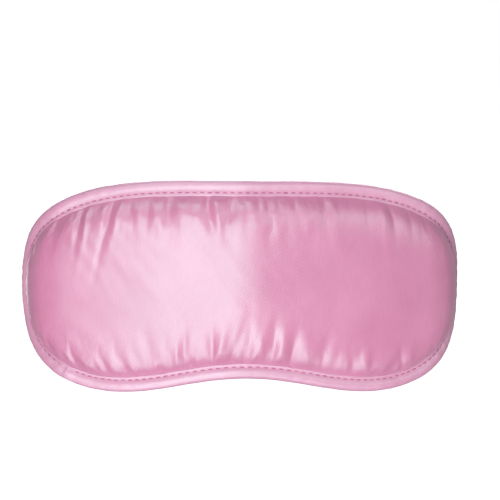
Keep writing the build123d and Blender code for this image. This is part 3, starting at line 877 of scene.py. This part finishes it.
def strap_stitching():
    """The tacks of both straps at the mask's ends, and of their loops."""
    u, n = HALF_LENGTH - SEAM_DEPTH + 1.6, -LAP_OFFSET - STRAP / 2
    (x, y, _), (further_x, further_y, _) = bend([(u, 0, n), (u, 0, n - 1)]) / MM
    out_x, out_y = further_x - x, further_y - y
    tack_rows("right_anchor_stitches", (x, y), (out_y, -out_x), (out_x, out_y), "right_anchor_stitching")
    tack_rows("left_anchor_stitches", (-x, y), (-out_y, -out_x), (-out_x, out_y), "left_anchor_stitching")
    ring_tail = RING_ANGLE - RING_HALF - ring_loop(SEWN_R)[1] - math.degrees(TAIL / 2 / SEWN_R)
    back_tack("ring_loop_stitches", ring_tail, SEWN_R, "ring_loop_stitching")
    slider_tail = SLIDER_ANGLE - LOOP_COVERED - LOOP_TAIL / 2
    back_tack("slider_loop_stitches", slider_tail, LOOP_TAIL_R, "slider_loop_stitching", body="slider")


def cad_materials():
    """Finishes for the nodes that keep their CAD shape."""
    for node, material in (("strap_ring", COATED), ("strap_slider", COATED), ("blackout_layer", BLACKOUT)):
        obj = bpy.data.objects[node]
        obj.data.materials.clear()
        obj.data.materials.append(material)


# ---------------------------------------------------------------- camera, light and floor

VIEW_WIDTH = 0.2128  # what the frame spans at the mask
CAMERA_AZIMUTH, CAMERA_ELEVATION, CAMERA_ROLL = -4.3, 6.5, 0.65
CAMERA_DISTANCE = 0.9
CAMERA_AIM = (0.0015, 0, 0.0175)
SENSOR_WIDTH = 36
FLOOR_Z, FLOOR_HALF = -0.32, 8.0
FLOOR_COLOUR = (0.92, 0.91, 0.92, 1)
WHITE = (1, 1, 1, 1)
SURROUND, SEEN_SURROUND = 0.23, 1.0  # brightness of the surroundings: what they give, and as seen

# Soft lights that face the object: name, (azimuth, elevation), distance, (width, height), power.
LIGHTS = (
    ("key light", (-14, -4), 0.75, (0.36, 0.8), 4.3),
    ("top light", (-32, 60), 0.9, (0.6, 0.5), 2.1),
    ("low light", (-12, -52), 0.7, (0.7, 0.5), 2.6),
    ("right fill", (40, 24), 0.9, (0.6, 0.5), 1.5),
    ("back light", (165, 35), 1.1, (0.8, 0.6), 12.0),
    ("back fill", (195, 5), 1.1, (0.5, 0.6), 4.0),
)


def outward(azimuth, elevation):
    """The direction at an azimuth from the front (positive to +X) and an elevation, in degrees."""
    azimuth, elevation = math.radians(azimuth), math.radians(elevation)
    level = math.cos(elevation)
    return Vector((math.sin(azimuth) * level, -math.cos(azimuth) * level, math.sin(elevation)))


def set_camera():
    """The camera, at the front and a little above, rolled slightly."""
    away = outward(CAMERA_AZIMUTH, CAMERA_ELEVATION)
    camera = bpy.data.objects.new("camera", bpy.data.cameras.new("camera"))
    camera.location = Vector(CAMERA_AIM) + away * CAMERA_DISTANCE
    roll = Matrix.Rotation(math.radians(CAMERA_ROLL), 3, "Z")
    camera.rotation_euler = (away.to_track_quat("Z", "Y").to_matrix() @ roll).to_euler()
    camera.data.sensor_width = SENSOR_WIDTH
    camera.data.lens = SENSOR_WIDTH * CAMERA_DISTANCE / VIEW_WIDTH
    camera.data.clip_start = 0.05
    bpy.context.scene.collection.objects.link(camera)
    bpy.context.scene.camera = camera
    bpy.context.scene.view_settings.view_transform = "Standard"


def pale_floor():
    """A white floor that neither tints the mask nor keeps the low light from it."""
    corners = [(FLOOR_HALF * x, FLOOR_HALF * y, FLOOR_Z) for x, y in ((-1, -1), (1, -1), (1, 1), (-1, 1))]
    floor = new_object("floor", corners, [(0, 1, 2, 3)])
    material, shader, *_ = node_tools("pale floor")
    shader.inputs["Base Color"].default_value = FLOOR_COLOUR
    shader.inputs["Roughness"].default_value = 0.9
    shader.inputs["Emission Color"].default_value = WHITE
    shader.inputs["Emission Strength"].default_value = 1.0
    floor.data.materials.append(material)
    floor.visible_diffuse = floor.visible_glossy = floor.visible_shadow = False


def surroundings():
    """White surroundings, dimmer as a light than they look."""
    world = bpy.data.worlds.new("studio")
    bpy.context.scene.world = world
    world.use_nodes = True
    nodes, links = world.node_tree.nodes, world.node_tree.links
    background = nodes["Background"]
    seen = nodes.new("ShaderNodeLightPath")
    strength = nodes.new("ShaderNodeMapRange")
    strength.inputs["To Min"].default_value = SURROUND
    strength.inputs["To Max"].default_value = SEEN_SURROUND
    links.new(seen.outputs["Is Camera Ray"], strength.inputs["Value"])
    links.new(strength.outputs[0], background.inputs["Strength"])
    background.inputs["Color"].default_value = WHITE


def soft_light(name, angles, distance, size, power):
    """A soft light of size (width, height) that faces the object, at (azimuth, elevation) angles."""
    light = bpy.data.lights.new(name, "AREA")
    light.shape = "RECTANGLE"
    light.size, light.size_y = size
    light.energy = power
    obj = bpy.data.objects.new(name, light)
    away = outward(*angles)
    obj.location = away * distance
    obj.rotation_euler = away.to_track_quat("Z", "Y").to_euler()
    obj.visible_camera = False
    bpy.context.scene.collection.objects.link(obj)


set_camera()
pale_floor()
surroundings()
for light in LIGHTS:
    soft_light(*light)
padded_panels()
binding_roll()
seam_stitches("front_seam_stitches", 1, GROOVE_DEPTH + 0.02, "front_seam_thread", False)
seam_stitches("back_seam_stitches", -1, GROOVE_DEPTH * BACK_SHARE + 0.02, "back_seam_thread", True)
outer_straps()
return_strap()
strap_stitching()
cad_materials()
